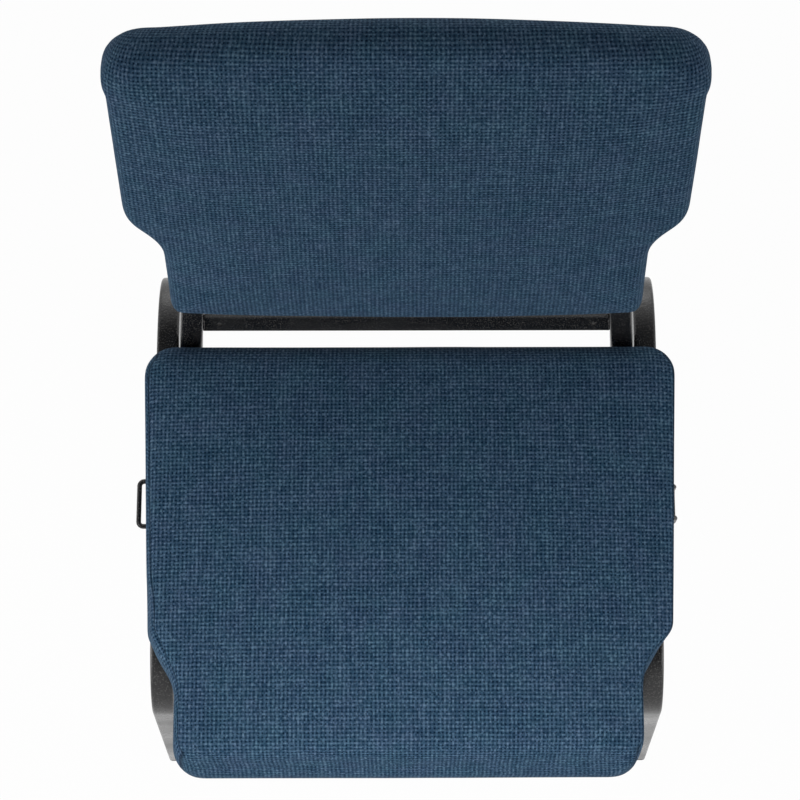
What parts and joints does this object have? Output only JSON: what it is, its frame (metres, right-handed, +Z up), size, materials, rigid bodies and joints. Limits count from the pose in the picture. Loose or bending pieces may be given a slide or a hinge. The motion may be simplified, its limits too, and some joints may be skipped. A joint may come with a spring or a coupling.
{
  "type": "church chair",
  "caption": "Stacking church chair: upholstered seat and waisted back on a bent square-tube frame, with a ganging loop on one side and a hook on the other.",
  "frame": {"origin": "on the floor, below the middle of the chair's plan box", "axes": "+Z up, the sitter faces -Y, +X to the right of someone who looks at the chair from the front"},
  "size_m": [0.5392, 0.6351, 0.8761],
  "materials": {
    "frame": "black vein-textured powder coat, semi-gloss",
    "fabric": "blue basket weave with navy dots",
    "foam": "open-cell polyurethane foam",
    "board": "raw plywood",
    "glide": "moulded black nylon",
    "bumper": "moulded black rubber",
    "fastener": "zinc-plated steel",
    "lining": "black non-woven lining"
  },
  "bodies": {
    "root": {"back_board": "board", "back_cover": "fabric", "back_front_foam": "foam", "back_rear_foam": "foam", "back_screw_lower_left": "fastener", "back_screw_lower_right": "fastener", "back_screw_upper_left": "fastener", "back_screw_upper_right": "fastener", "back_tee_nut_lower_left": "fastener", "back_tee_nut_lower_right": "fastener", "back_tee_nut_upper_left": "fastener", "back_tee_nut_upper_right": "fastener", "front_left_glide": "glide", "front_right_glide": "glide", "front_seat_rail": "frame", "ganging_hook": "frame", "ganging_loop": "frame", "left_back_upright": "frame", "left_leg_hoop": "frame", "left_stacking_bumper": "bumper", "rear_cross_bar": "frame", "rear_left_glide": "glide", "rear_right_glide": "glide", "rear_seat_rail": "frame", "right_back_upright": "frame", "right_leg_hoop": "frame", "right_stacking_bumper": "bumper", "seat_board": "board", "seat_cover": "fabric", "seat_dust_cover": "lining", "seat_foam": "foam", "seat_screw_front_left": "fastener", "seat_screw_front_right": "fastener", "seat_screw_rear_left": "fastener", "seat_screw_rear_right": "fastener", "seat_tee_nut_front_left": "fastener", "seat_tee_nut_front_right": "fastener", "seat_tee_nut_rear_left": "fastener", "seat_tee_nut_rear_right": "fastener"}
  },
  "joints": []
}
